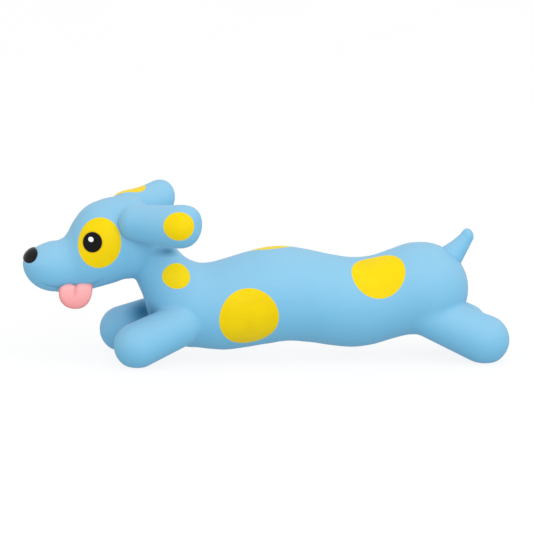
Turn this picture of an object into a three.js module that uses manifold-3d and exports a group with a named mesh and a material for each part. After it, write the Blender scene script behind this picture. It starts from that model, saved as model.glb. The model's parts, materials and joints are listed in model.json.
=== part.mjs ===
// Squeaky dog toy: a long latex dog, stuffed with fibre, with a reed squeaker plugged into its belly.
// Units are millimetres. The dog stands on z = 0 and faces -X, and its left side is towards -Y.
import * as THREE from "three";
import { mergeVertices } from "three/addons/utils/BufferGeometryUtils.js";
import Module from "manifold-3d";

const wasm = await Module();
wasm.setup();

// Latex skin and fits
const wall = 2;
const clearance = 0.3;
const footFlat = 0.5; // how much of each foot the floor presses flat

// Torso: round sections along a wavy spine, set out from the rib section at x = 0
const ribHeight = 32.6;
const ribRadius = 24;
const ribToWaist = 34;
const waistHeight = 28.3;
const waistRadius = 22.2;
const waistToRump = 35;
const rumpHeight = 34.4;
const rumpRadius = 23.6;
const ribToChest = 30;
const chestHeight = 28;
const chestRadius = 22.8;
const chestToShoulder = 17;
const shoulderHeight = 28.3;
const shoulderRadius = 20.2;
const shoulderCap = 20.6; // rounded front of the chest

// Neck: a tapered limb from inside the shoulders to inside the skull
const neckRootForward = 6.3;
const neckRootRise = 3;
const neckRootRadius = 16.2;
const neckReach = 17;
const neckRise = 24.7;
const neckTipRadius = 10.8;
const neckSeamHeight = 11.5; // how far above the neck's root the skin is bonded

// Head: oval sections square to X, set out from the skull, which stands on the neck's tip
const neckToSkull = 17.7;
const skullRise = 5.6;
const skullHalfHeight = 21.4;
const skullHalfWidth = 19.6;
const skullBack = 21;
const skullToBrow = 15;
const browDrop = 4.8;
const browHalfHeight = 20.3;
const browHalfWidth = 17.6;
const browToStop = 7;
const stopDrop = 10.4;
const stopHalfHeight = 15.8;
const stopHalfWidth = 13.8;
const stopToBridge = 6;
const bridgeDrop = 13.4;
const bridgeHalfHeight = 13;
const bridgeHalfWidth = 12.2;
const bridgeToMuzzle = 7.5;
const muzzleDrop = 13.8;
const muzzleHalfHeight = 11.6;
const muzzleHalfWidth = 11.2;
const muzzleCap = 9.8;
const muzzleTipRise = 1.7;

// Ears: clubs that swing on a ball root let into the skull
const earBackAngle = 25.4; // behind the skull's widest section
const earSideAngle = 53; // down from the crown
const earRootRadius = 9.1;
const earTipRadius = 10.7;
const earLength = 26.2; // from ball centre to ball centre
const earSweepAngle = 43.5; // backwards from straight out
const earLiftAngle = 3;
const earDownLimit = -15;
const earUpLimit = 30;

// Front legs: capsules reaching forward from the shoulder section
const frontRootForward = 9.3;
const frontRootDrop = 9;
const frontRootSpread = 11;
const frontRootRadius = 11.3;
const frontReach = 21.9;
const frontFootSpread = 19.4;
const frontFootRadius = 11.5;

// Hind legs: capsules reaching back from the rump section, the right one a little shorter
const hindRootBack = 3.2;
const hindRootDrop = 11.6;
const hindRootSpread = 11;
const hindRootRadius = 11.1;
const hindReach = 27.7;
const hindStagger = 6.6;
const hindFootSpread = 13;
const hindFootRadius = 12;

// Tail: a short cone that wags on a ball root let into the rump
const tailRootAngle = 40; // backwards from the top of the rump
const tailSink = 1.2;
const tailRootRadius = 5.6;
const tailTipRadius = 3.2;
const tailLength = 13.2;
const tailLeanAngle = 37.3; // backwards from upright
const tailLimit = 30;

// Tongue: a flat pad lolling from the left of the mouth, swinging on a round root
const tongueBehindNose = 25;
const mouthAngle = 44; // from straight down, round the muzzle
const tongueWidth = 17;
const tongueDrop = 13.4;
const tongueThickness = 4.2;
const tongueEdge = 1.3; // rounding of the pad's rim
const tongueRootRadius = 2.1;
const tongueSink = 1.5; // how deep the root lies in the lip
const tongueGrooveLength = 9;
const tongueGrooveWidth = 1.6;
const tongueGrooveDepth = 0.7;
const tongueLimit = 40;

// Nose: an oval button let into the muzzle's tip
const noseAngle = 28; // up from straight ahead
const noseHalfWidth = 6.6;
const noseHalfHeight = 5;
const noseHalfDepth = 3.2;
const noseProud = 1;

// Squeaker: a plug with a flange outside and a lip inside the belly's collar
const soundHoleRadius = 1.6;
const flangeRadius = 9.5;
const flangeThickness = 1.8;
const collarMargin = 2.6; // latex kept round the flange
const collarThickness = 3;
const squeakerLipRadius = 8.4;
const squeakerLipThickness = 1.4;
const squeakerLipTaper = 0.8;
const barrelRadius = 6.6;
const boreRadius = 5.2;
const barrelHeight = 19; // from the outer face of the flange
const capWall = 1.3;
const capSkirt = 5;
const capVents = 6;
const capVentRadius = 0.9;
const capVentCircle = 3.4;

// Reed: a thin strip held on its seat by a clamp, free to flutter at the top
const reedSeatHeight = 11;
const reedChannelWidth = 2.4;
const reedChannelDepth = 1.6;
const reedChannelEnd = 1.6; // seat left above the channel
const reedWidth = 3.6;
const reedThickness = 0.3;
const reedLength = 9.6;
const reedClampHeight = 3.2;
const reedLimit = 4;

// How finely round forms are faceted
const torsoSides = 24;
const torsoSteps = 4;
const headSides = 20;
const headSteps = 3;
const innerSides = 12;
const innerSteps = 2;
const endCount = 4;
const innerEndCount = 2;
const limbSides = 14;
const limbArcSteps = 4;
const ballRings = 8;
const turnedSides = 24;
const reliefSteps = 3; // angles at which a moving piece is cut clear
const farAway = 1000; // reach of a cutting half-space

const acrossY = new THREE.Vector3(0, 1, 0);
const upZ = new THREE.Vector3(0, 0, 1);
const towardsNose = new THREE.Vector3(-1, 0, 0);
const radians = THREE.MathUtils.degToRad;

const latexBlue = new THREE.MeshStandardMaterial({ color: 0x8ccbef, roughness: 0.55, metalness: 0 });
const latexPink = new THREE.MeshStandardMaterial({ color: 0xfba9ab, roughness: 0.5, metalness: 0 });
const noseBlack = new THREE.MeshStandardMaterial({ color: 0x1c1c1c, roughness: 0.4, metalness: 0 });
const fibreWhite = new THREE.MeshStandardMaterial({ color: 0xf1efe9, roughness: 0.95, metalness: 0 });
const squeakerWhite = new THREE.MeshStandardMaterial({ color: 0xeceae2, roughness: 0.4, metalness: 0 });
const reedAmber = new THREE.MeshStandardMaterial({ color: 0xd8c79a, roughness: 0.25, metalness: 0 });

// Geometry with only merged positions, and without triangles that merging has collapsed
function welded(geometry) {
  const bare = geometry.clone();
  bare.deleteAttribute("normal");
  bare.deleteAttribute("uv");
  const merged = mergeVertices(bare);
  const kept = [];
  for (let i = 0; i < merged.index.count; i += 3) {
    const [a, b, c] = [0, 1, 2].map((corner) => merged.index.getX(i + corner));
    if (a !== b && b !== c && c !== a) kept.push(a, b, c);
  }
  return merged.setIndex(kept);
}

function solid(geometry) {
  const closed = welded(geometry);
  const vertProperties = new Float32Array(closed.attributes.position.array);
  const triVerts = new Uint32Array(closed.index.array);
  return new wasm.Manifold(new wasm.Mesh({ numProp: 3, vertProperties, triVerts }));
}

function geometryOf(manifold) {
  const mesh = manifold.getMesh();
  const geometry = new THREE.BufferGeometry();
  geometry.setAttribute("position", new THREE.BufferAttribute(mesh.vertProperties.slice(), 3));
  geometry.setIndex(Array.from(mesh.triVerts));
  geometry.computeVertexNormals();
  return geometry;
}

// The same closed surface, moved outwards by a distance, or inwards by a negative one
function grown(geometry, distance) {
  const moved = welded(geometry);
  moved.computeVertexNormals();
  const { position, normal } = moved.attributes;
  for (let i = 0; i < position.count; i++) {
    position.setXYZ(
      i,
      position.getX(i) + distance * normal.getX(i),
      position.getY(i) + distance * normal.getY(i),
      position.getZ(i) + distance * normal.getZ(i),
    );
  }
  return moved;
}

function joined(solids) {
  return solids.reduce((all, next) => all.add(next));
}

// Everything on the side of a plane that its normal points to
function halfSpace(point, normal) {
  const box = new THREE.BoxGeometry(farAway, farAway, farAway).translate(0, 0, farAway / 2);
  box.applyQuaternion(new THREE.Quaternion().setFromUnitVectors(upZ, normal));
  return solid(box.translate(point.x, point.y, point.z));
}

// A ball whose facets stay outside the radius, so that what turns inside it never meets them
function socket(centre, radius) {
  const outside = radius / Math.cos(Math.PI / limbSides) / Math.cos(Math.PI / ballRings / 2);
  const sphere = new THREE.SphereGeometry(outside, limbSides, ballRings);
  return solid(sphere.translate(centre.x, centre.y, centre.z));
}

// A cylinder standing on a point, along Z
function post(base, radius, height, sides = turnedSides) {
  const cylinder = new THREE.CylinderGeometry(radius, radius, height, sides).rotateX(Math.PI / 2);
  return solid(cylinder.translate(base.x, base.y, base.z + height / 2));
}

// A profile of [radius, height] corners turned about Z
function turned(profile, sides = turnedSides) {
  const points = profile.map(([radius, height]) => new THREE.Vector2(radius, height));
  return solid(new THREE.LatheGeometry(points, sides).rotateX(Math.PI / 2));
}

// Smooth oval rings through the stations, each with a centre and its two half sizes
function ringsThrough(stations, steps, tangentAt) {
  const centres = new THREE.CatmullRomCurve3(stations.map((s) => new THREE.Vector3(s.x, 0, s.z)));
  const sizes = new THREE.CatmullRomCurve3(
    stations.map((s) => new THREE.Vector3(s.halfHeight, s.halfWidth, 0)),
    false,
    "catmullrom",
  );
  const count = steps * (stations.length - 1);
  return Array.from({ length: count + 1 }, (_, i) => {
    const tangent = tangentAt(centres, i / count);
    const size = sizes.getPoint(i / count);
    const centre = centres.getPoint(i / count);
    const up = acrossY.clone().cross(tangent);
    return { centre, tangent, up, halfHeight: size.x, halfWidth: size.y };
  });
}

// Rings that round off an end to a pole at a given length, the pole raised by a lift
function endRings(ring, direction, length, count, lift = 0) {
  return Array.from({ length: count + 1 }, (_, i) => {
    const angle = ((i + 1) / (count + 1)) * (Math.PI / 2);
    const along = direction.clone().multiplyScalar(length * Math.sin(angle));
    const centre = ring.centre.clone().add(along).addScaledVector(upZ, lift * Math.sin(angle));
    const shrink = Math.cos(angle);
    return {
      ...ring,
      centre,
      halfHeight: ring.halfHeight * shrink,
      halfWidth: ring.halfWidth * shrink,
    };
  });
}

// Closed surface over rings that run towards the nose, the first and last shrunk to poles
function loft(rings, sides) {
  const [first, last] = [rings[0], rings[rings.length - 1]];
  const open = rings.slice(1, -1);
  const positions = [...first.centre.toArray(), ...last.centre.toArray()];
  const corner = (ring, side) => 2 + ring * sides + (side % sides);
  const index = [];
  open.forEach(({ centre, up, halfHeight, halfWidth }, ring) => {
    for (let side = 0; side < sides; side++) {
      const angle = (side / sides) * 2 * Math.PI;
      const point = centre
        .clone()
        .addScaledVector(acrossY, halfWidth * Math.cos(angle))
        .addScaledVector(up, halfHeight * Math.sin(angle));
      positions.push(...point.toArray());
      if (ring === 0) index.push(0, corner(ring, side), corner(ring, side + 1));
      if (ring === open.length - 1) {
        index.push(1, corner(ring, side + 1), corner(ring, side));
      } else {
        index.push(corner(ring, side), corner(ring + 1, side), corner(ring, side + 1));
        index.push(corner(ring, side + 1), corner(ring + 1, side), corner(ring + 1, side + 1));
      }
    }
  });
  const geometry = new THREE.BufferGeometry();
  geometry.setAttribute("position", new THREE.Float32BufferAttribute(positions, 3));
  return geometry.setIndex(index);
}

// A round limb between two balls: an arc over each and the line that touches both, turned.
// Of the root alone, the second arc closes the first ball instead.
function limb(form, { growth = 0, sides = limbSides, arcSteps = limbArcSteps, rootOnly = false } = {}) {
  const axis = form.tip.clone().sub(form.root);
  const rootRadius = form.rootRadius + growth;
  const tipRadius = form.tipRadius + growth;
  const lean = Math.asin((rootRadius - tipRadius) / axis.length());
  const arc = (radius, height, start, end) =>
    Array.from({ length: arcSteps + 1 }, (_, i) => {
      const angle = THREE.MathUtils.lerp(start, end, i / arcSteps);
      return new THREE.Vector2(radius * Math.cos(angle), height + radius * Math.sin(angle));
    });
  const [endRadius, endHeight] = rootOnly ? [rootRadius, 0] : [tipRadius, axis.length()];
  const start = arc(rootRadius, 0, -Math.PI / 2, lean);
  const end = arc(endRadius, endHeight, lean, Math.PI / 2);
  start[0].x = 0;
  end[arcSteps].x = 0;
  const turn = new THREE.Quaternion().setFromUnitVectors(acrossY, axis.normalize());
  const geometry = new THREE.LatheGeometry([...start, ...end], sides).applyQuaternion(turn);
  return geometry.translate(form.root.x, form.root.y, form.root.z);
}

// Spine of the torso, from the rump to the shoulder
const rumpX = ribToWaist + waistToRump;
const shoulderX = -ribToChest - chestToShoulder;
const round = (x, z, radius) => ({ x, z, halfHeight: radius, halfWidth: radius });
const spine = [
  round(rumpX, rumpHeight, rumpRadius),
  round(ribToWaist, waistHeight, waistRadius),
  round(0, ribHeight, ribRadius),
  round(-ribToChest, chestHeight, chestRadius),
  round(shoulderX, shoulderHeight, shoulderRadius),
];

function torso(sides, steps, roundingRings) {
  const rings = ringsThrough(spine, steps, (curve, t) => curve.getTangent(t));
  const [rump, shoulder] = [rings[0], rings[rings.length - 1]];
  const rumpEnd = endRings(rump, rump.tangent.clone().negate(), rumpRadius, roundingRings).reverse();
  const chestEnd = endRings(shoulder, shoulder.tangent, shoulderCap, roundingRings);
  return loft([...rumpEnd, ...rings, ...chestEnd], sides);
}

function neckLimb() {
  const root = new THREE.Vector3(shoulderX - neckRootForward, 0, shoulderHeight + neckRootRise);
  const tip = root.clone().add(new THREE.Vector3(-neckReach, 0, neckRise));
  return { root, tip, rootRadius: neckRootRadius, tipRadius: neckTipRadius };
}
const neck = neckLimb();

// Stations of the head, from the skull to the muzzle
const skullX = neck.tip.x - neckToSkull;
const skullHeight = neck.tip.z + skullRise;
const browX = skullX - skullToBrow;
const stopX = browX - browToStop;
const bridgeX = stopX - stopToBridge;
const muzzleX = bridgeX - bridgeToMuzzle;
const oval = (x, drop, halfHeight, halfWidth) => ({ x, z: skullHeight - drop, halfHeight, halfWidth });
const face = [
  oval(skullX, 0, skullHalfHeight, skullHalfWidth),
  oval(browX, browDrop, browHalfHeight, browHalfWidth),
  oval(stopX, stopDrop, stopHalfHeight, stopHalfWidth),
  oval(bridgeX, bridgeDrop, bridgeHalfHeight, bridgeHalfWidth),
  oval(muzzleX, muzzleDrop, muzzleHalfHeight, muzzleHalfWidth),
];
const faceRings = (steps) => ringsThrough(face, steps, () => towardsNose.clone());

function head(sides, steps, roundingRings) {
  const rings = faceRings(steps);
  const [skull, muzzle] = [rings[0], rings[rings.length - 1]];
  const back = endRings(skull, towardsNose.clone().negate(), skullBack, roundingRings).reverse();
  const nose = endRings(muzzle, towardsNose, muzzleCap, roundingRings, muzzleTipRise);
  return loft([...back, ...rings, ...nose], sides);
}

// Oval section of the head at a place along X
function faceSection(x) {
  const rings = faceRings(headSteps);
  const next = rings.findIndex((ring) => ring.centre.x <= x);
  const [behind, ahead] = [rings[next - 1], rings[next]];
  const share = (behind.centre.x - x) / (behind.centre.x - ahead.centre.x);
  return {
    z: THREE.MathUtils.lerp(behind.centre.z, ahead.centre.z, share),
    halfHeight: THREE.MathUtils.lerp(behind.halfHeight, ahead.halfHeight, share),
    halfWidth: THREE.MathUtils.lerp(behind.halfWidth, ahead.halfWidth, share),
  };
}

// Limbs, each from its root ball to its tip ball, with side -1 on the left and 1 on the right
function earLimb(side) {
  const [back, down] = [radians(earBackAngle), radians(earSideAngle)];
  const [sweep, lift] = [radians(earSweepAngle), radians(earLiftAngle)];
  const root = new THREE.Vector3(
    skullX + skullBack * Math.sin(back),
    side * skullHalfWidth * Math.cos(back) * Math.sin(down),
    skullHeight + skullHalfHeight * Math.cos(back) * Math.cos(down),
  );
  const direction = new THREE.Vector3(
    Math.sin(sweep) * Math.cos(lift),
    side * Math.cos(sweep) * Math.cos(lift),
    Math.sin(lift),
  );
  const tip = root.clone().addScaledVector(direction, earLength);
  const axis = direction.clone().cross(upZ).normalize();
  const hinge = { pivot: root, axis, range: [earDownLimit, earUpLimit] };
  return { root, tip, hinge, rootRadius: earRootRadius, tipRadius: earTipRadius };
}

function frontLegLimb(side) {
  const rootX = shoulderX - frontRootForward;
  return {
    root: new THREE.Vector3(rootX, side * frontRootSpread, shoulderHeight - frontRootDrop),
    tip: new THREE.Vector3(rootX - frontReach, side * frontFootSpread, frontFootRadius - footFlat),
    rootRadius: frontRootRadius,
    tipRadius: frontFootRadius,
  };
}

function hindLegLimb(side) {
  const rootX = rumpX + hindRootBack;
  const reach = side < 0 ? hindReach : hindReach - hindStagger;
  return {
    root: new THREE.Vector3(rootX, side * hindRootSpread, rumpHeight - hindRootDrop),
    tip: new THREE.Vector3(rootX + reach, side * hindFootSpread, hindFootRadius - footFlat),
    rootRadius: hindRootRadius,
    tipRadius: hindFootRadius,
  };
}

function tailLimb() {
  const [seat, lean] = [radians(tailRootAngle), radians(tailLeanAngle)];
  const reach = rumpRadius - tailSink;
  const root = new THREE.Vector3(rumpX + reach * Math.sin(seat), 0, rumpHeight + reach * Math.cos(seat));
  const direction = new THREE.Vector3(Math.sin(lean), 0, Math.cos(lean));
  const tip = root.clone().addScaledVector(direction, tailLength);
  const hinge = { pivot: root, axis: direction.clone().cross(acrossY), range: [-tailLimit, tailLimit] };
  return { root, tip, hinge, rootRadius: tailRootRadius, tipRadius: tailTipRadius };
}

// Tongue: where its round root lies in the mouth
function tongueRoot() {
  const x = muzzleX - muzzleCap + tongueBehindNose;
  const section = faceSection(x);
  const angle = radians(mouthAngle);
  return new THREE.Vector3(
    x,
    (tongueSink - section.halfWidth) * Math.sin(angle),
    section.z + (tongueSink - section.halfHeight) * Math.cos(angle),
  );
}

// A bar along X for the tongue's root, or for the groove that holds it
function tongueBar(centre, radius, length) {
  const bar = new THREE.CylinderGeometry(radius, radius, length, limbSides).rotateZ(Math.PI / 2);
  return solid(bar.translate(centre.x, centre.y, centre.z));
}

function tongueSlot(centre, radius, length) {
  return tongueBar(centre, radius / Math.cos(Math.PI / limbSides), length);
}

function tonguePad(root) {
  const half = tongueWidth / 2;
  const outline = new THREE.Shape();
  outline.moveTo(half, 0);
  outline.lineTo(-half, 0);
  outline.lineTo(-half, half - tongueDrop);
  outline.absarc(0, half - tongueDrop, half, Math.PI, 2 * Math.PI, false);
  outline.closePath();
  const pad = new THREE.ExtrudeGeometry(outline, {
    depth: tongueThickness - 2 * tongueEdge,
    bevelThickness: tongueEdge,
    bevelSize: tongueEdge,
    bevelOffset: -tongueEdge,
    bevelSegments: 2,
    curveSegments: limbSides / 2,
  });
  pad.translate(0, 0, tongueEdge).rotateX(Math.PI / 2);
  const groove = new THREE.SphereGeometry(1, limbSides, ballRings);
  groove.scale(tongueGrooveWidth / 2, tongueGrooveDepth, tongueGrooveLength);
  groove.translate(0, -tongueThickness, 0);
  const cut = solid(pad).subtract(solid(groove));
  return cut.translate(root.x, root.y, root.z);
}

// Nose button: where it sits on the muzzle's rounded end, and its oval, grown by a clearance
function noseOval(growth) {
  const angle = radians(noseAngle);
  const outwards = new THREE.Vector3(-Math.cos(angle), 0, Math.sin(angle));
  const surface = new THREE.Vector3(
    muzzleX - muzzleCap * Math.cos(angle),
    0,
    skullHeight - muzzleDrop + muzzleTipRise * Math.cos(angle) + muzzleHalfHeight * Math.sin(angle),
  );
  const centre = surface.addScaledVector(outwards, noseProud - noseHalfDepth);
  const button = new THREE.SphereGeometry(1, limbSides, ballRings);
  button.scale(noseHalfHeight + growth, noseHalfWidth + growth, noseHalfDepth + growth);
  button.applyQuaternion(new THREE.Quaternion().setFromUnitVectors(upZ, outwards));
  return solid(button.translate(centre.x, centre.y, centre.z));
}

// Squeaker levels, measured up from the flange's outer face, whose rim is flush with the belly
const flangeSeatRadius = flangeRadius + clearance;
const flangeDepth = ribRadius - Math.sqrt(ribRadius ** 2 - flangeSeatRadius ** 2);
const belly = new THREE.Vector3(0, 0, ribHeight - ribRadius + flangeDepth);
const collarBase = flangeThickness + clearance;
const collarTop = collarBase + collarThickness;
const lipBase = collarTop + clearance;
const lipTop = lipBase + squeakerLipThickness;
const collarRadius = flangeRadius + collarMargin;
const capInside = barrelHeight + clearance;
const capRadius = barrelRadius + clearance + capWall;
const capTop = capInside + capWall;

function squeakerBody() {
  return turned([
    [soundHoleRadius, 0],
    [flangeRadius, 0],
    [flangeRadius, flangeThickness],
    [barrelRadius, flangeThickness],
    [barrelRadius, lipBase],
    [squeakerLipRadius, lipBase],
    [squeakerLipRadius - squeakerLipTaper, lipTop],
    [barrelRadius, lipTop],
    [barrelRadius, barrelHeight],
    [boreRadius, barrelHeight],
    [boreRadius, flangeThickness],
    [soundHoleRadius, flangeThickness],
    [soundHoleRadius, 0],
  ]);
}

function squeakerCap() {
  const cup = turned([
    [0, capInside],
    [barrelRadius + clearance, capInside],
    [barrelRadius + clearance, capInside - capSkirt],
    [capRadius, capInside - capSkirt],
    [capRadius, capTop],
    [0, capTop],
  ]);
  return Array.from({ length: capVents }, (_, i) => {
    const angle = (i / capVents) * 2 * Math.PI;
    const base = new THREE.Vector3(capVentCircle * Math.cos(angle), capVentCircle * Math.sin(angle), lipTop);
    return post(base, capVentRadius, capTop, limbSides / 2);
  }).reduce((left, vent) => left.subtract(vent), cup);
}

// Part of the bore on one side of a flat at a distance from the axis, standing on the flange
function boreSegment(side, flat, height) {
  const radius = boreRadius - clearance;
  const edge = Math.asin(flat / radius);
  const outline = new THREE.Shape();
  const start = side > 0 ? edge : Math.PI + edge;
  outline.absarc(0, 0, radius, start, start + Math.PI - 2 * edge, false);
  outline.closePath();
  const block = new THREE.ExtrudeGeometry(outline, {
    depth: height,
    bevelEnabled: false,
    curveSegments: turnedSides / 2,
  });
  return solid(block.translate(0, 0, collarBase));
}

function reedSeat() {
  const channelHeight = reedSeatHeight - reedChannelEnd;
  const channel = new THREE.BoxGeometry(reedChannelWidth, 2 * reedChannelDepth, 2 * channelHeight);
  return boreSegment(1, 0, reedSeatHeight).subtract(solid(channel.translate(0, 0, collarBase)));
}

const reedHinge = {
  pivot: new THREE.Vector3(0, -clearance - reedThickness / 2, collarBase + reedClampHeight),
  axis: new THREE.Vector3(1, 0, 0),
  range: [0, reedLimit],
};

function reedStrip() {
  const strip = new THREE.BoxGeometry(reedWidth, reedThickness, reedLength);
  return solid(strip.translate(0, reedHinge.pivot.y, collarBase + clearance + reedLength / 2));
}

function reedClamp() {
  return boreSegment(-1, 2 * clearance + reedThickness, reedClampHeight);
}

// Skin: the torso and head as one form, hollowed, with seats for what is let into it
const left = -1;
const right = 1;
const ears = [earLimb(left), earLimb(right)];
const legs = [frontLegLimb(left), frontLegLimb(right), hindLegLimb(left), hindLegLimb(right)];
const tail = tailLimb();
const tongueAt = tongueRoot();

const torsoForm = torso(torsoSides, torsoSteps, endCount);
const headForm = head(headSides, headSteps, endCount);
const innerTorso = torso(innerSides, innerSteps, innerEndCount);
const innerHead = head(innerSides, innerSteps, innerEndCount);
const innerLimb = (form, growth) =>
  solid(limb(form, { growth, sides: innerSides, arcSteps: innerEndCount }));

// Latex kept behind each seat, pulled back by a gap where the filling has to clear it
function seatBacking(gap) {
  const behind = clearance + wall + gap;
  return joined([
    ...[...ears, tail].map((form) => socket(form.root, form.rootRadius + behind)),
    tongueSlot(tongueAt, tongueRootRadius + behind, tongueWidth + 2 * behind),
    noseOval(behind),
    post(belly, collarRadius + gap, collarTop + gap),
  ]);
}

// The room inside the latex, or the filling when it is drawn in by a gap
function inside(gap) {
  const shrink = -wall - gap;
  const hollows = [solid(grown(innerTorso, shrink)), solid(grown(innerHead, shrink))];
  const limbHollows = [neck, ...legs].map((form) => innerLimb(form, shrink));
  return joined([...hollows, ...limbHollows]).subtract(seatBacking(gap));
}

// The outside of the skin, moved outwards by a distance
function outside(growth) {
  return joined([solid(grown(torsoForm, growth)), solid(grown(headForm, growth)), solid(limb(neck, { growth }))]);
}

const sockets = joined([
  ...[...ears, tail].map((form) => socket(form.root, form.rootRadius + clearance)),
  tongueSlot(tongueAt, tongueRootRadius + clearance, tongueWidth + 2 * clearance),
  noseOval(clearance),
]);
const plugSeat = post(belly.clone().setZ(0), flangeSeatRadius, belly.z + collarBase);
const plugHole = post(belly, barrelRadius + clearance, 2 * collarTop);

const skin = outside(0).subtract(inside(0)).subtract(sockets).subtract(plugSeat).subtract(plugHole);

// The skin parts at a bonded seam square to the neck
const neckAxis = neck.tip.clone().sub(neck.root).normalize();
const seam = neck.root.clone().addScaledVector(neckAxis, neckSeamHeight / neckAxis.z);
const seamAbove = seam.clone().addScaledVector(neckAxis, clearance);
const bodySkin = skin.subtract(halfSpace(seam, neckAxis));
const headSkin = skin.subtract(halfSpace(seamAbove, neckAxis.clone().negate()));

// What the loose ends have to stay clear of
const skinClear = outside(clearance);
const floor = halfSpace(new THREE.Vector3(), upZ.clone().negate());

function legPiece(leg) {
  const side = Math.sign(leg.tip.y);
  const edge = new THREE.Vector3(0, (side * clearance) / 2, 0);
  const otherSide = halfSpace(edge, new THREE.Vector3(0, -side, 0));
  const shell = solid(limb(leg)).subtract(innerLimb(leg, -wall));
  return shell.subtract(skinClear).subtract(otherSide).subtract(floor);
}

// A piece cut clear of the skin at even steps through its hinge's range, apart from its round root
function relieved(piece, root, { pivot, axis, range }) {
  const skinAt = (angle) => {
    const turn = new THREE.Matrix4()
      .makeTranslation(pivot)
      .multiply(new THREE.Matrix4().makeRotationAxis(axis, -radians(angle)))
      .multiply(new THREE.Matrix4().makeTranslation(pivot.clone().negate()));
    return skinClear.transform(turn.elements);
  };
  const steps = Array.from({ length: reliefSteps + 1 }, (_, i) =>
    THREE.MathUtils.lerp(range[0], range[1], i / reliefSteps),
  );
  return piece.subtract(joined([0, ...steps].map(skinAt)).subtract(root));
}

// A limb that turns on its root ball
function swingingPiece(form) {
  return relieved(solid(limb(form)), solid(limb(form, { rootOnly: true })), form.hinge);
}

const tongueHinge = { pivot: tongueAt, axis: towardsNose, range: [0, tongueLimit] };

function tonguePiece() {
  const bar = tongueBar(tongueAt, tongueRootRadius, tongueWidth - 2 * tongueEdge);
  return relieved(tonguePad(tongueAt).add(bar), bar, tongueHinge);
}

// The filling leaves room for the squeaker above its collar
const squeakerRoom = post(belly, squeakerLipRadius + clearance, capTop + clearance);
const filling = inside(clearance).subtract(squeakerRoom);

// A named mesh; a hinge, in the mesh's own frame, says how it turns against the skin or the squeaker
function piece(name, manifold, material, hinge = null) {
  const mesh = new THREE.Mesh(geometryOf(manifold), material);
  mesh.name = name;
  if (hinge) mesh.userData.hinge = hinge;
  return mesh;
}

const squeaker = new THREE.Group();
squeaker.position.copy(belly);
squeaker.add(
  piece("squeaker_body", squeakerBody(), squeakerWhite),
  piece("squeaker_cap", squeakerCap(), squeakerWhite),
  piece("reed_seat", reedSeat(), squeakerWhite),
  piece("reed", reedStrip(), reedAmber, reedHinge),
  piece("reed_clamp", reedClamp(), squeakerWhite),
);

const toy = new THREE.Group();
toy.add(
  piece("body_skin", bodySkin, latexBlue),
  piece("head_skin", headSkin, latexBlue),
  piece("left_ear", swingingPiece(ears[0]), latexBlue, ears[0].hinge),
  piece("right_ear", swingingPiece(ears[1]), latexBlue, ears[1].hinge),
  piece("left_front_leg", legPiece(legs[0]), latexBlue),
  piece("right_front_leg", legPiece(legs[1]), latexBlue),
  piece("left_hind_leg", legPiece(legs[2]), latexBlue),
  piece("right_hind_leg", legPiece(legs[3]), latexBlue),
  piece("tail", swingingPiece(tail), latexBlue, tail.hinge),
  piece("tongue", tonguePiece(), latexPink, tongueHinge),
  piece("nose", noseOval(0), noseBlack),
  piece("fibre_filling", filling, fibreWhite),
  squeaker,
);

// The origin lies on the floor under the middle of the toy
const middle = new THREE.Box3().setFromObject(toy, true).getCenter(new THREE.Vector3());
toy.children.forEach((child) => child.position.sub(new THREE.Vector3(middle.x, middle.y, 0)));

export default toy;
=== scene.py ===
import json
import math

import bpy
import numpy as np
from mathutils import Matrix, Vector


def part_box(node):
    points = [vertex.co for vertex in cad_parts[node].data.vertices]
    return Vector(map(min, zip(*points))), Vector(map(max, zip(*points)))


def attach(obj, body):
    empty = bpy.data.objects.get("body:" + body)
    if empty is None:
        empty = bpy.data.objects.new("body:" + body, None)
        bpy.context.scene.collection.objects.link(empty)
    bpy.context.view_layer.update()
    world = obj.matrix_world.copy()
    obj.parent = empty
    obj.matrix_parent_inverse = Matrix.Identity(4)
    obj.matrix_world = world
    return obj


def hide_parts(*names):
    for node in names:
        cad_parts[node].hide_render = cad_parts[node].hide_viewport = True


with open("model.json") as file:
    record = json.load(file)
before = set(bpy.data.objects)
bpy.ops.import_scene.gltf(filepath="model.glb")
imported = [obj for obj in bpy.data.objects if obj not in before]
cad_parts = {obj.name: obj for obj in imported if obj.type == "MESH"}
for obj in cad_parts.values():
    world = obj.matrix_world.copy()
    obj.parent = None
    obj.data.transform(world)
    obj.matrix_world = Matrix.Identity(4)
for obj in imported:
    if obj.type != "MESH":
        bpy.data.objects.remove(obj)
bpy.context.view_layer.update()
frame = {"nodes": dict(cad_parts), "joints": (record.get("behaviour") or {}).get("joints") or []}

scene = bpy.context.scene

# Shapes are worked out in millimetres and go into their meshes in metres
perMetre = 1000.0
left, right = -1, 1


def nodeBox(name):
    low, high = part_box(name)
    return np.array(low) * perMetre, np.array(high) * perMetre


def jointPlace(name):
    joint = next(j for j in frame["joints"] if j["name"] == name)
    return np.array(joint["pos_m"]) * perMetre


# The squeaker stands under the ribs, and lengths along the dog count from it
squeakerLow, squeakerHigh = nodeBox("squeaker_body")
ribX = (squeakerLow[0] + squeakerHigh[0]) / 2


# Camera

view = {
    "target": (1.0, 0.0, 46.6),  # the point in the middle of the picture
    "yaw": 10.0,  # round towards the head
    "elevation": 12.5,
    "roll": 1.7,
    "width": 266.5,  # across the picture at the target
    "lens": 1200.0,  # a long lens, so the far side is hardly smaller
    "sensor": 36.0,
    "clipEnd": 50.0,  # metres
}


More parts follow.
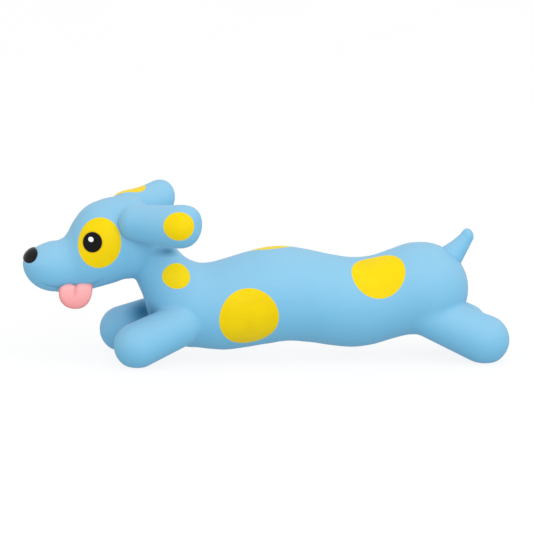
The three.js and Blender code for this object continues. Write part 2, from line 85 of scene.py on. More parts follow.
def makeCamera(view):
    yaw, elevation, roll = (math.radians(view[key]) for key in ("yaw", "elevation", "roll"))
    across = Vector((math.cos(yaw), -math.sin(yaw), 0))
    ahead = Vector((
        math.sin(yaw) * math.cos(elevation),
        math.cos(yaw) * math.cos(elevation),
        -math.sin(elevation),
    ))
    upright = across.cross(ahead)
    sideways = across * math.cos(roll) + upright * math.sin(roll)
    upwards = upright * math.cos(roll) - across * math.sin(roll)
    distance = view["width"] * view["lens"] / view["sensor"]
    place = (Vector(view["target"]) - ahead * distance) / perMetre
    data = bpy.data.cameras.new("camera")
    data.lens, data.sensor_width = view["lens"], view["sensor"]
    data.clip_end = view["clipEnd"]
    camera = bpy.data.objects.new("camera", data)
    axes = Matrix((sideways, upwards, -ahead)).transposed()
    camera.matrix_world = Matrix.Translation(place) @ axes.to_4x4()
    scene.collection.objects.link(camera)
    scene.camera = camera


makeCamera(view)
print("camera placed")


# Meshes

# A finished piece at the origin, with smooth faces and its place in its mesh
def makePiece(name, points, faces, finish):
    mesh = bpy.data.meshes.new(name)
    mesh.from_pydata((points / perMetre).tolist(), [], faces)
    mesh.polygons.foreach_set("use_smooth", np.ones(len(mesh.polygons), bool))
    mesh.materials.append(finish.material)
    mesh.update()
    piece = bpy.data.objects.new(name, mesh)
    scene.collection.objects.link(piece)
    print(name, len(mesh.polygons), "faces")
    return piece


# Faces of a grid of rings between two poles: each square joins two rings, and a fan closes each pole
def poledFaces(rings, sides):
    ring, side = np.meshgrid(np.arange(rings - 1), np.arange(sides), indexing="ij")
    after = (side + 1) % sides
    squares = np.stack([
        ring * sides + side, ring * sides + after,
        (ring + 1) * sides + after, (ring + 1) * sides + side,
    ], -1).reshape(-1, 4)
    start, end = rings * sides, rings * sides + 1
    around = np.arange(sides)
    following = (around + 1) % sides
    last = (rings - 1) * sides
    startFan = np.stack([np.full(sides, start), following, around], -1)
    endFan = np.stack([np.full(sides, end), last + around, last + following], -1)
    return squares.tolist() + startFan.tolist() + endFan.tolist()


def unit(vector):
    return np.array(vector, float) / np.linalg.norm(vector)


# Angles evenly round a circle
def turns(sides):
    return np.arange(sides) * 2 * math.pi / sides


# A power of a value's size, with the value's sign
def signedPower(value, power):
    return np.sign(value) * np.abs(value) ** power


# A club swept along a path: its round section goes from the root's radius to the tip's, evenly or with a
# flare at the root. A quarter circle closes the root, and a quarter superellipse, which may be blunter,
# closes the tip. The path is straight with a bend that grows as the cube of the distance.
def clubGrid(root, along, form, rings=56, sides=56, firstRing=0.03):
    along = unit(along)
    rootRadius, tipRadius, length = form["rootRadius"], form["tipRadius"], form["length"]
    third = rings // 3
    quarter = np.linspace(firstRing, 1, third) * math.pi / 2
    middle = np.linspace(0, 1, third + 2)[1:-1]
    share = np.concatenate([np.zeros(third), middle, np.ones(third)])
    radius = tipRadius + (rootRadius - tipRadius) * (1 - share) ** form["flare"]
    power = 2 / form["tipSquareness"]
    distance = np.concatenate([
        -rootRadius * np.cos(quarter),
        middle * length,
        length + tipRadius * np.cos(quarter[::-1]) ** power,
    ])
    radius *= np.concatenate([np.sin(quarter), np.ones(len(middle)), np.sin(quarter[::-1]) ** power])
    bend = np.array(form["bend"]) / length ** 3
    centre = root + distance[:, None] * along + np.maximum(distance, 0)[:, None] ** 3 * bend
    across = unit(np.cross(along, (0, 0, 1)))
    upright = np.cross(across, along)
    turn = turns(sides)
    spoke = np.cos(turn)[:, None] * across + np.sin(turn)[:, None] * upright
    ringPoints = centre[:, None] + radius[:, None, None] * spoke[None]
    tipBend = (length + tipRadius) ** 3 * bend
    poles = np.array([root - along * rootRadius, root + along * (length + tipRadius) + tipBend])
    return np.concatenate([ringPoints.reshape(-1, 3), poles]), poledFaces(len(centre), sides)


# Distance fields: each gives the distance of points from a form's surface, less than zero inside

# An eased step from 0 to 1: three squares less two cubes
def eased(share):
    return share * share * (3 - 2 * share)


# A smooth curve through stations: a cubic between each pair, whose slope at a station is that of the
# line between its neighbours, and level at both ends
def throughStations(stations, column, x):
    table = np.array(stations, float)
    knots, values = table[:, 0], table[:, column]
    slopes = np.zeros(len(knots))
    slopes[1:-1] = (values[2:] - values[:-2]) / (knots[2:] - knots[:-2])
    low = np.clip(np.searchsorted(knots, x) - 1, 0, len(knots) - 2)
    span = knots[low + 1] - knots[low]
    t = np.clip((x - knots[low]) / span, 0, 1)
    rise = eased(t)
    return (
        values[low] * (1 - rise) + values[low + 1] * rise
        + span * t * (1 - t) * ((1 - t) * slopes[low] - t * slopes[low + 1])
    )


# A union whose inner corner is filled by a round of about the given reach
def smoothUnion(a, b, reach):
    share = np.clip(0.5 + 0.5 * (b - a) / reach, 0, 1)
    return b * (1 - share) + a * share - reach * share * (1 - share)


# The first form less the second, with the corner between them rounded
def smoothCut(a, b, reach):
    return -smoothUnion(-a, b, reach)


def ballField(points, centre, radius):
    return np.linalg.norm(points - centre, axis=1) - radius


# Two balls and the cone that touches both: the nearest point is on the cone where the foot of the square
# from the point to the slanted side lies between the balls
def limbField(points, root, tip, rootRadius, tipRadius):
    axis = tip - root
    length = np.linalg.norm(axis)
    axis = axis / length
    slant = (rootRadius - tipRadius) / length
    offset = points - root
    along = offset @ axis
    out = np.linalg.norm(offset - along[:, None] * axis, axis=1)
    foot = along - out * slant / math.sqrt(1 - slant * slant)
    onCone = out * math.sqrt(1 - slant * slant) + along * slant - rootRadius
    onRoot = np.hypot(out, along) - rootRadius
    onTip = np.hypot(out, along - length) - tipRadius
    return np.where(foot < 0, onRoot, np.where(foot > length, onTip, onCone))


# Oval sections square to the dog's length, and half an oval ball at each end: how far a point lies out
# from the section's middle, as a share of the section, less one, over how fast that share grows
def ovalField(points, stations, frontCap, backCap, tipRise=0.0, least=1e-6):
    x = points[:, 0] - ribX
    front, back = stations[0][0], stations[-1][0]
    inside = np.clip(x, front, back)
    cap = np.where(x < front, frontCap, backCap)
    beyond = (x - inside) / cap
    height = throughStations(stations, 1, inside) + tipRise * np.clip(-beyond, 0, 1) ** 2
    halfUp = throughStations(stations, 2, inside)
    halfOut = throughStations(stations, 3, inside)
    y, z = points[:, 1] / halfOut, (points[:, 2] - height) / halfUp
    share = np.sqrt(beyond ** 2 + y ** 2 + z ** 2)
    growth = np.sqrt((beyond / cap) ** 2 + (y / halfOut) ** 2 + (z / halfUp) ** 2)
    return (share - 1) * np.maximum(share, least) / np.maximum(growth, least)


# The dog's skin

torso = {
    # distance behind the squeaker, height, half height and half width of each section
    "sections": [
        (-47.0, 27.1, 21.0, 20.6),
        (-38.0, 26.9, 21.7, 21.7),
        (-30.0, 27.7, 22.9, 23.0),
        (-20.0, 29.8, 23.8, 23.6),
        (-10.0, 31.8, 24.2, 24.0),
        (0.0, 32.4, 24.1, 24.0),
        (11.0, 31.6, 23.2, 23.5),
        (23.0, 29.4, 22.8, 22.6),
        (34.0, 28.1, 22.5, 22.2),
        (44.0, 29.1, 22.3, 22.4),
        (54.0, 32.2, 22.5, 23.0),
        (62.0, 34.5, 22.9, 23.4),
        (69.0, 34.8, 23.2, 23.6),
    ],
    "chestCap": 20.6,
    "rumpCap": 23.5,
}

neck = {
    "root": (-54.2, 0.0, 31.3),
    "tip": (-70.9, 0.0, 56.0),
    "rootRadius": 15.8,
    "tipRadius": 11.2,
    "napeRound": 6.5,  # rounding where it rises from the torso
    "throatRound": 3.4,  # rounding under the jaw
}

head = {
    # from the muzzle back over the bridge, the stop and the brow to the skull
    "sections": [
        (-117.0, 47.75, 12.85, 12.1),
        (-114.5, 47.9, 13.45, 12.5),
        (-112.2, 48.5, 14.1, 12.9),
        (-110.0, 50.1, 15.7, 13.5),
        (-108.0, 52.2, 17.8, 14.4),
        (-104.2, 55.2, 20.2, 16.5),
        (-100.2, 57.3, 21.4, 18.1),
        (-96.4, 58.7, 21.7, 19.0),
        (-92.5, 59.9, 21.8, 19.5),
        (-88.0, 61.0, 21.6, 19.7),
        (-81.0, 62.3, 20.9, 19.2),
    ],
    "muzzleCap": 16.3,
    "skullCap": 14.5,
    "muzzleTipRise": 1.4,
    "slant": 0.28,  # how far the muzzle's front leans back for its height
    "slantFrom": (-112.0, 50.0),  # distance from the squeaker, and height
    "slantOver": 12.0,  # length over which the lean eases in
    "slantUpTo": 12.0,  # height over which it grows
}

mouth = {
    # distance from the squeaker and height of the lip line, from the front to the corner
    "line": [
        (-134.0, 44.6), (-126.9, 41.5), (-122.1, 39.8), (-116.6, 38.5), (-108.0, 38.8),
        (-99.6, 41.0), (-94.4, 44.6),
    ],
    "corner": -93.5,
    "cornerFade": 5.0,
    "front": -127.5,
    "frontFade": 7.0,
    "depth": 0.35,
    "halfWidth": 0.8,
    "jawBelow": 2.2,
    "jawSetBack": 0.15,  # the lower jaw lies a little behind the lip
}

frontLegs = {
    "root": (-56.3, 14.2, 19.9),
    "leftFoot": (-77.9, 19.4, 11.0),
    "rightFoot": (-78.8, 19.4, 11.0),
    "rootRadius": 10.9,
    "footRadius": 11.5,
    "rootRound": 1.3,
}

hindLegs = {
    "root": (72.2, 11.0, 22.8),
    "leftFoot": (99.3, 15.0, 11.5),
    "rightFoot": (93.6, 13.0, 11.4),
    "rootRadius": 10.8,
    "footRadius": 12.4,
    "rootRound": 2.2,
}

# Swellings of the skin round the ears' and the tail's roots
roots = {"earRadius": 8.2, "earRound": 1.6, "tailRadius": 4.9, "tailRound": 1.1}

# What is cut from below: the seat of the squeaker's flange, and the flats of the feet
underside = {
    "flangeRadius": (squeakerHigh[0] - squeakerLow[0]) / 2,
    "flangeThickness": 1.8,
    "flangeClearance": 0.35,
    "seatRound": 1.2,
    "footRound": 1.6,
}

skinGrid = {"step": 1.0, "margin": 3.0, "relaxRounds": 3}


def fromRib(place, side=1):
    return np.array([ribX + place[0], side * place[1], place[2]])


earRoots = {left: jointPlace("left_ear_flap"), right: jointPlace("right_ear_flap")}
tailRoot = jointPlace("tail_wag")
tongueRoot = jointPlace("tongue_flick")


# The lip line is a shallow groove round the muzzle, and the jaw under it is set back
def mouthDepth(points):
    x, z = points[:, 0] - ribX, points[:, 2]
    lip = throughStations(mouth["line"], 1, x)
    present = np.clip((mouth["corner"] - x) / mouth["cornerFade"], 0, 1)
    present = eased(present * np.clip((x - mouth["front"]) / mouth["frontFade"], 0, 1))
    under = lip - z
    groove = mouth["depth"] * np.exp(-(under / mouth["halfWidth"]) ** 2)
    jaw = mouth["jawSetBack"] * np.exp(-((under - mouth["jawBelow"]) / mouth["jawBelow"]) ** 2)
    return present * (groove + jaw)


# Points moved forward by their height over the muzzle, so that the form read there leans back
def leant(points):
    front, height = head["slantFrom"]
    share = np.clip((front - (points[:, 0] - ribX)) / head["slantOver"], 0, 1)
    lean = head["slant"] * eased(share) * np.clip(points[:, 2] - height, 0, head["slantUpTo"])
    return points - lean[:, None] * np.array([1.0, 0.0, 0.0])


# Torso, neck, head and legs as one moulded skin
def dogField(points):
    body = ovalField(points, torso["sections"], torso["chestCap"], torso["rumpCap"])
    neckPart = limbField(
        points, fromRib(neck["root"]), fromRib(neck["tip"]), neck["rootRadius"], neck["tipRadius"]
    )
    headPart = ovalField(
        leant(points), head["sections"], head["muzzleCap"], head["skullCap"], head["muzzleTipRise"]
    )
    for ear in earRoots.values():
        headPart = smoothUnion(headPart, ballField(points, ear, roots["earRadius"]), roots["earRound"])
    headPart = smoothUnion(headPart, neckPart, neck["throatRound"])
    body = smoothUnion(body, headPart, neck["napeRound"])
    body = smoothUnion(body, ballField(points, tailRoot, roots["tailRadius"]), roots["tailRound"])
    for side, foot in ((left, "leftFoot"), (right, "rightFoot")):
        hind = limbField(
            points, fromRib(hindLegs["root"], side), fromRib(hindLegs[foot], side),
            hindLegs["rootRadius"], hindLegs["footRadius"],
        )
        body = smoothUnion(body, hind, hindLegs["rootRound"])
        front = limbField(
            points, fromRib(frontLegs["root"], side), fromRib(frontLegs[foot], side),
            frontLegs["rootRadius"], frontLegs["footRadius"],
        )
        body = smoothUnion(body, front, frontLegs["rootRound"])
    return body


# A round pocket from below, up to a height
def pocketField(points, radius, top):
    out = np.hypot(points[:, 0] - ribX, points[:, 1]) - radius
    return np.maximum(out, points[:, 2] - top)


# The dog with its lip line, the seat of the squeaker's flange and flat feet
def skinField(points):
    body = dogField(points) + mouthDepth(points)
    seat = pocketField(
        points, underside["flangeRadius"] + underside["flangeClearance"],
        squeakerLow[2] + underside["flangeThickness"],
    )
    body = smoothCut(body, seat, underside["seatRound"])
    return smoothCut(body, points[:, 2], underside["footRound"])


surfacing = {
    "before": 3,  # rounds of settling before, between and after the rounds of relaxing
    "between": 1,
    "after": 2,
    "nudge": 0.05,  # that the slope is read with
    "leastSquare": 0.2,  # of a slope
    "relaxShare": 0.5,
}


# A surface from a field: the field is read at the corners of a grid of cells. Each cell that the surface
# crosses gets one point, each grid edge that it crosses joins the points of the four cells round it, and
# the points then move along the field's slope until the field is zero there.
def fieldSurface(field, low, high, step, relaxRounds):
    axes = [np.arange(a, b + step, step) for a, b in zip(low, high)]
    corners = np.stack(np.meshgrid(*axes, indexing="ij"), -1)
    inside = field(corners.reshape(-1, 3)).reshape(corners.shape[:3]) < 0
    halves = (slice(None, -1), slice(1, None))
    count = sum(inside[i, j, k].astype(int) for i in halves for j in halves for k in halves)
    crossed = (count > 0) & (count < 8)
    number = np.full(crossed.shape, -1)
    number[crossed] = np.arange(crossed.sum())
    points = np.array([a[0] for a in axes]) + (np.argwhere(crossed) + 0.5) * step
    squares = []
    for axis in range(3):
        order = (axis, (axis + 1) % 3, (axis + 2) % 3)
        here, cell = inside.transpose(order), number.transpose(order)
        first, second = here[:-1, 1:-1, 1:-1], here[1:, 1:-1, 1:-1]
        changed = first != second
        square = np.stack([
            cell[:, :-1, :-1], cell[:, 1:, :-1], cell[:, 1:, 1:], cell[:, :-1, 1:],
        ], -1)[changed]
        squares.append(np.where(first[changed][:, None], square, square[:, ::-1]))
    squares = np.concatenate(squares)
    points = settled(points, field, surfacing["before"])
    for _ in range(relaxRounds):
        points = settled(relaxed(points, squares), field, surfacing["between"])
    return settled(points, field, surfacing["after"]), squares


# Each point moves along the field's slope by the field over the slope's square
def settled(points, field, rounds):
    nudge = surfacing["nudge"]
    for _ in range(rounds):
        slope = np.stack([
            (field(points + step) - field(points - step)) / (2 * nudge) for step in np.eye(3) * nudge
        ], 1)
        square = np.maximum((slope ** 2).sum(1), surfacing["leastSquare"])
        points = points - (field(points) / square)[:, None] * slope
    return points


# Each point goes part of the way to the mean of its neighbours
def relaxed(points, squares):
    edges = np.concatenate([squares[:, [i, (i + 1) % 4]] for i in range(4)])
    start, end = edges.T
    count = np.bincount(start, minlength=len(points))
    total = [np.bincount(start, points[end, axis], len(points)) for axis in range(3)]
    mean = np.stack(total, 1) / np.maximum(count, 1)[:, None]
    return points + surfacing["relaxShare"] * (mean - points)


# Points moved along a direction onto the skin, by halving a span of distances that starts inside it
def ontoSkin(points, direction, near, far, halvings=40):
    near, far = np.full(len(points), near), np.full(len(points), far)
    for _ in range(halvings):
        middle = (near + far) / 2
        inside = dogField(points + middle[:, None] * direction) < 0
        near, far = np.where(inside, middle, near), np.where(inside, far, middle)
    return points + near[:, None] * direction


# Finishes

# The light of a screen colour, by the curve that screens use
def linear(colour):
    share = np.array(colour, float) / 255
    value = np.where(share <= 0.04045, share / 12.92, ((share + 0.055) / 1.055) ** 2.4)
    return (*value.tolist(), 1.0)


# A value in a node tree, so that an expression adds its Math nodes
class Wire:
    def __init__(self, finish, socket):
        self.finish, self.socket = finish, socket

    def __add__(self, other):
        return self.finish.math("ADD", self, other)

    def __radd__(self, other):
        return self.finish.math("ADD", other, self)

    def __sub__(self, other):
        return self.finish.math("SUBTRACT", self, other)

    def __rsub__(self, other):
        return self.finish.math("SUBTRACT", other, self)

    def __mul__(self, other):
        return self.finish.math("MULTIPLY", self, other)

    def __rmul__(self, other):
        return self.finish.math("MULTIPLY", other, self)


class Finish:
    def __init__(self, name, constants):
        self.material = bpy.data.materials.new(name)
        self.material.use_nodes = True
        self.tree = self.material.node_tree
        self.shader = self.tree.nodes["Principled BSDF"]
        self.feed(constants)
        place = self.node("ShaderNodeTexCoord", output="Object")
        self.place = self.vector("MULTIPLY", place, (perMetre,) * 3)  # in millimetres

    def node(self, kind, settings=None, sockets=None, output=0):
        made = self.tree.nodes.new(kind)
        for key, value in (settings or {}).items():
            setattr(made, key, value)
        for key, value in (sockets or {}).items():
            self.join(made.inputs[key], value)
        return Wire(self, made.outputs[output])

    def join(self, socket, value):
        if isinstance(value, Wire):
            self.tree.links.new(value.socket, socket)
        else:
            socket.default_value = value

    def feed(self, sockets):
        for key, value in sockets.items():
            self.join(self.shader.inputs[key], value)

    def math(self, operation, *values):
        return self.node("ShaderNodeMath", {"operation": operation}, dict(enumerate(values)))

    def vector(self, operation, *values):
        return self.node("ShaderNodeVectorMath", {"operation": operation}, dict(enumerate(values)))

    def length(self, vector):
        return self.node("ShaderNodeVectorMath", {"operation": "LENGTH"}, {0: vector}, "Value")

    def split(self, vector):
        return [self.node("ShaderNodeSeparateXYZ", sockets={0: vector}, output=i) for i in range(3)]

    def mix(self, share, first, second):
        sockets = {0: share, 6: first, 7: second}
        return self.node("ShaderNodeMix", {"data_type": "RGBA"}, sockets, 2)

    # 0 up to low, 1 from high, with an eased step between
    def step(self, value, low, high):
        sockets = {"Value": value, "From Min": low, "From Max": high}
        return self.node("ShaderNodeMapRange", {"interpolation_type": "SMOOTHSTEP"}, sockets)

    # Noise whose grains are about size millimetres across
    def noise(self, size, detail=2.0, place=None):
        sockets = {"Vector": place or self.place, "Scale": 1 / size, "Detail": detail}
        return self.node("ShaderNodeTexNoise", {}, sockets, "Fac")

    # A value that a noise, whose middle is a half, moves up and down
    def vary(self, value, change, noise):
        return value + change * (noise - 0.5)

    # Inside an oval ball of the given half sizes, with a crisp edge of a given width
    def inBall(self, centre, half, edge):
        offset = self.vector("SUBTRACT", self.place, tuple(centre))
        share = self.length(self.vector("MULTIPLY", offset, tuple(1 / h for h in half)))
        blur = edge / min(half)
        return 1 - self.step(share, 1 - blur / 2, 1 + blur / 2)

    # A relief whose height is in millimetres
    def bump(self, height):
        sockets = {"Height": height, "Distance": 1 / perMetre, "Strength": 1.0}
        return self.node("ShaderNodeBump", {}, sockets, "Normal")


# Latex dipped in colour, with paint sprayed on through round masks

latex = {
    "colour": (140, 193, 222),
    "deepColour": (119, 191, 229),  # painted shade on faces that look down, and the clouds' deeper tone
    "undersideShade": (-0.6, 1.0),  # how far up a face looks where the painted shade is deepest and where it ends
    "undersideShadeShare": 0.9,
    "mottle": 9.0,
    "cloud": (0.3, 0.7),  # the mottle's noise where a cloud starts and where it is full
    "cloudShare": 0.1,
    "grain": 0.55,
    "grainHeight": 0.012,
    "pore": 2.6,
    "poreHeight": 0.03,
    "roughness": 0.44,
    "roughnessChange": 0.12,
    "specular": 0.08,
    "sheen": 0.06,
    "sheenRoughness": 0.5,
    "paintedShadeColour": (32, 106, 142),  # painted shade in the folds and in the soft patches
    "foldShadeReach": 18.0,
    "foldShadeSamples": 8,
    "foldShadeClosed": 0.2,  # how open a fold is at its full painted shade, and where the painted shade ends
    "foldShadeOpen": 0.72,
    "paintedShadeStrength": 0.95,
    # painted shade along the lip's groove
    "lipShadeColour": (84, 148, 186),
    "lipShadeStrength": 0.6,
    "lipHalfWidth": 0.55,
    "lipFull": 0.2,  # share of the half width that has the full colour
    "lipSpan": 20.0,  # length that the quartic counts as one
}

paint = {
    "yellow": (242, 212, 6),
    "deepYellow": (238, 206, 4),
    "rimYellow": (226, 182, 0),  # round a pupil
    "rimReach": 0.5,
    "rimEdge": 0.8,
    "black": (20, 20, 20),
    "white": (246, 246, 247),
    "edge": 0.1,
    "film": 0.006,  # height of the paint
    "roughness": 0.42,
    "eyeRoughness": 0.2,
}


# A thin line of painted shade along the lips' groove: how far a point's height is from a quartic fitted
# to the lip's stations
def lipShadeLine(finish):
    along, _, upwards = finish.split(finish.place)
    x, z = np.array(mouth["line"]).T
    middle, span = float(x.mean()), latex["lipSpan"]
    share = (along - (ribX + middle)) * (1 / span)
    height, *others = np.polyfit((x - middle) / span, z, 4).tolist()
    for factor in others:
        height = height * share + factor
    away = finish.math("ABSOLUTE", upwards - height)
    line = 1 - finish.step(away, latex["lipFull"] * latex["lipHalfWidth"], latex["lipHalfWidth"])
    front, corner = ribX + mouth["front"], ribX + mouth["corner"]
    ended = finish.step(along, corner - mouth["cornerFade"], corner)
    return line * finish.step(along, front, front + mouth["frontFade"]) * (1 - ended)


# Painted shade where the skin's own folds come close to each other, and in soft patches
def paintedFoldShade(finish, colour, shades):
    openness = finish.node(
        "ShaderNodeAmbientOcclusion", {"samples": latex["foldShadeSamples"], "only_local": True},
        {"Distance": latex["foldShadeReach"] / perMetre}, "AO",
    )
    paintedShade = 1 - finish.step(openness, latex["foldShadeClosed"], latex["foldShadeOpen"])
    for shade in shades:
        patch = finish.inBall(shade["at"], shade["half"], shade["edge"])
        paintedShade = finish.math("MAXIMUM", paintedShade, shade["strength"] * patch)
    return finish.mix(latex["paintedShadeStrength"] * paintedShade, colour, linear(latex["paintedShadeColour"]))


# Latex with clouds, pores and grain, with painted shade where it faces down and in its folds, and with
# the paint on it
def makeLatex(name, spots=(), eyes=(), shades=()):
    finish = Finish(name, {
        "Specular IOR Level": latex["specular"],
        "Sheen Weight": latex["sheen"],
        "Sheen Roughness": latex["sheenRoughness"],
    })
    mottle = finish.noise(latex["mottle"], detail=3.0)
    grain = finish.noise(latex["grain"])
    pores = finish.noise(latex["pore"], detail=3.0)
    cloud = finish.step(mottle, *latex["cloud"])
    # Painted shade: faces that look down get the deeper, bluer colour
    facing = finish.split(finish.node("ShaderNodeTexCoord", output="Normal"))[2]
    undersideShade = 1 - finish.step(facing, *latex["undersideShade"])
    shadeAndCloud = latex["undersideShadeShare"] * undersideShade + latex["cloudShare"] * cloud
    colour = finish.mix(shadeAndCloud, linear(latex["colour"]), linear(latex["deepColour"]))
    yellow = finish.mix(cloud, linear(paint["yellow"]), linear(paint["deepYellow"]))
    rough = finish.vary(latex["roughness"], latex["roughnessChange"], pores)
    # painted shade in the folds and in the soft patches
    if shades:
        colour = paintedFoldShade(finish, colour, shades)
    # painted shade along the lip line
    if eyes:
        colour = finish.mix(latex["lipShadeStrength"] * lipShadeLine(finish), colour, linear(latex["lipShadeColour"]))
    film = 0.0
    for spot in spots:
        mask = finish.inBall(spot["at"], spot["half"], paint["edge"])
        colour = finish.mix(mask, colour, yellow)
        rough = rough + mask * (paint["roughness"] - latex["roughness"])
        film = mask + film
    for eye in eyes:
        rim = finish.inBall(eye["at"], [h + paint["rimReach"] for h in eye["half"]], paint["rimEdge"])
        pupil = finish.inBall(eye["at"], eye["half"], paint["edge"])
        glint = finish.inBall(eye["glintAt"], eye["glintHalf"], paint["edge"])
        colour = finish.mix(rim, colour, linear(paint["rimYellow"]))
        colour = finish.mix(pupil, colour, linear(paint["black"]))
        colour = finish.mix(glint, colour, linear(paint["white"]))
        rough = rough + pupil * (paint["eyeRoughness"] - paint["roughness"])
        film = pupil + film
    height = pores * latex["poreHeight"] + grain * latex["grainHeight"]
    if spots:
        height = height + film * paint["film"]
    finish.feed({
        "Base Color": colour,
        "Roughness": rough,
        "Normal": finish.bump(height),
    })
    return finish


# Where the skin lies on one side, at a distance behind the squeaker and a height
def onSkin(behind, height, side, span=60.0):
    middle = fromRib((behind, 0.0, height))[None]
    return ontoSkin(middle, np.array([0.0, side, 0.0]), 0.0, span)[0]


# Where the top of the back lies, at a distance behind the squeaker and across the dog
def onBack(behind, across, low=30.0, high=90.0):
    under = fromRib((behind, across, 0.0))[None]
    return ontoSkin(under, np.array([0.0, 0.0, 1.0]), low, high)[0]


eyePatch = (-98.2, 63.6, (11.0, 12.6, 13.1))

skinSpots = {
    # behind the squeaker, height and half size on each flank
    "left": {
        "eyePatch": eyePatch,
        "neckSpot": (-57.9, 45.1, (7.1, 13.0, 6.1)),
        "bodySpot": (-22.0, 24.9, (15.0, 19.0, 15.5)),
        "rumpSpot": (44.3, 46.0, (13.5, 13.5, 13.5)),
    },
    "right": {
        "eyePatch": eyePatch,
        "shoulderSpot": (-46.0, 36.0, (8.6, 14.0, 9.0)),
        "waistSpot": (24.0, 30.5, (12.2, 20.0, 12.6)),
        "rumpSpot": (68.0, 40.0, (8.2, 13.0, 8.4)),
    },
    # behind the squeaker, across the back and half size
    "back": {
        "ribSpot": (-7.0, 9.2, (12.0, 12.0, 12.0)),
    },
}

# Behind the squeaker and height, the same on both sides
pupils = {
    "at": (-101.4, 63.5),
    "half": (4.9, 6.0, 5.1),
    "glint": (-102.0, 64.8),
    "glintHalf": (1.25, 3.0, 1.25),
}


def flankSpots(side, key):
    return [
        {"at": onSkin(behind, height, side), "half": half}
        for behind, height, half in skinSpots[key].values()
    ]


def eyeAt(side):
    return {
        "at": onSkin(*pupils["at"], side), "half": pupils["half"],
        "glintAt": onSkin(*pupils["glint"], side), "glintHalf": pupils["glintHalf"],
    }


allSpots = flankSpots(left, "left") + flankSpots(right, "right") + [
    {"at": onBack(behind, across), "half": half} for behind, across, half in skinSpots["back"].values()
]

# Soft patches of painted shade between each front leg and the chest, and a painted shadow on the neck
# under each ear
shadePatches = {
    "insideLeg": {"place": (-70.5, 9.0, 21.5), "half": (5.5, 5.5, 5.5), "edge": 13.0, "strength": 1.0},
    "underEar": {"place": (-61.2, 8.9, 56.8), "half": (5.8, 3.4, 1.6), "edge": 4.4, "strength": 0.84},
}
paintedShadePatches = [
    {**paintedShade, "at": fromRib(paintedShade["place"], side)} for paintedShade in shadePatches.values() for side in (left, right)
]
skinFinish = makeLatex("latexSkin", allSpots, [eyeAt(left), eyeAt(right)], paintedShadePatches)

skinNodes = [
    "body_skin", "head_skin", "left_front_leg", "right_front_leg", "left_hind_leg", "right_hind_leg",
]
skinLow = np.min([nodeBox(name)[0] for name in skinNodes], axis=0) - skinGrid["margin"]
skinHigh = np.max([nodeBox(name)[1] for name in skinNodes], axis=0) + skinGrid["margin"]
points, squares = fieldSurface(skinField, skinLow, skinHigh, skinGrid["step"], skinGrid["relaxRounds"])
skin = makePiece("dogSkin", points, squares.tolist(), skinFinish)
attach(skin, "dog")
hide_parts(*skinNodes)
print("skin made")


# Ears

ears = {
    "flare": 1.0,
    "tipSquareness": 2.75,
    # the root's place outwards from the hinge, the sweep back from straight out, and the spot's place
    # from the tip's centre
    "left": {
        "shift": (-0.55, 4.8, 0.5), "length": 23.5, "sweep": 52.2, "lift": 1.4, "bend": (0.0, 0.0, 0.5),
        "rootRadius": 9.1, "tipRadius": 10.95,
        "spot": (-1.6, 10.2, 2.8), "spotHalf": (8.0, 8.0, 7.2),
    },
    "right": {
        "shift": (0.6, 2.4, -0.35), "length": 19.7, "sweep": 51.4, "lift": 0.4, "bend": (0.0, 0.0, 1.3),
        "rootRadius": 9.5, "tipRadius": 9.4,
        "spot": (-16.2, -3.6, 9.2), "spotHalf": (11.0, 11.0, 11.0),
    },
}


def makeEar(side, name, own):
    form = {**ears, **own}
    outwards = np.array([1.0, side, 1.0])
    sweep, lift = math.radians(form["sweep"]), math.radians(form["lift"])
    along = outwards * np.array([
        math.sin(sweep) * math.cos(lift), math.cos(sweep) * math.cos(lift), math.sin(lift),
    ])
    root = earRoots[side] + outwards * np.array(form["shift"])
    tip = root + along * form["length"]
    spot = {"at": tip + outwards * np.array(form["spot"]), "half": form["spotHalf"]}
    points, faces = clubGrid(root, along, form)
    return makePiece(name, points, faces, makeLatex(name + "Latex", [spot]))


leftEar = makeEar(left, "leftEar", ears["left"])
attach(leftEar, "left_ear")
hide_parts("left_ear")
rightEar = makeEar(right, "rightEar", ears["right"])
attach(rightEar, "right_ear")
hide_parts("right_ear")
print("ears made")


# Tail

tail = {
    "rootRadius": 6.1,
    "tipRadius": 3.4,
    "flare": 1.3,
    "tipSquareness": 2.1,
    "length": 12.2,
    "lean": 41.4,  # backwards from upright
    "shift": (0.8, 0.0, 0.3),
    "bend": (-0.6, 0.0, 0.45),
}

lean = math.radians(tail["lean"])
tailAlong = (math.sin(lean), 0, math.cos(lean))
points, faces = clubGrid(tailRoot + np.array(tail["shift"]), tailAlong, tail, rings=42, sides=40)
dogTail = makePiece("dogTail", points, faces, makeLatex("tailLatex"))
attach(dogTail, "tail")
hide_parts("tail")
print("tail made")


# Tongue

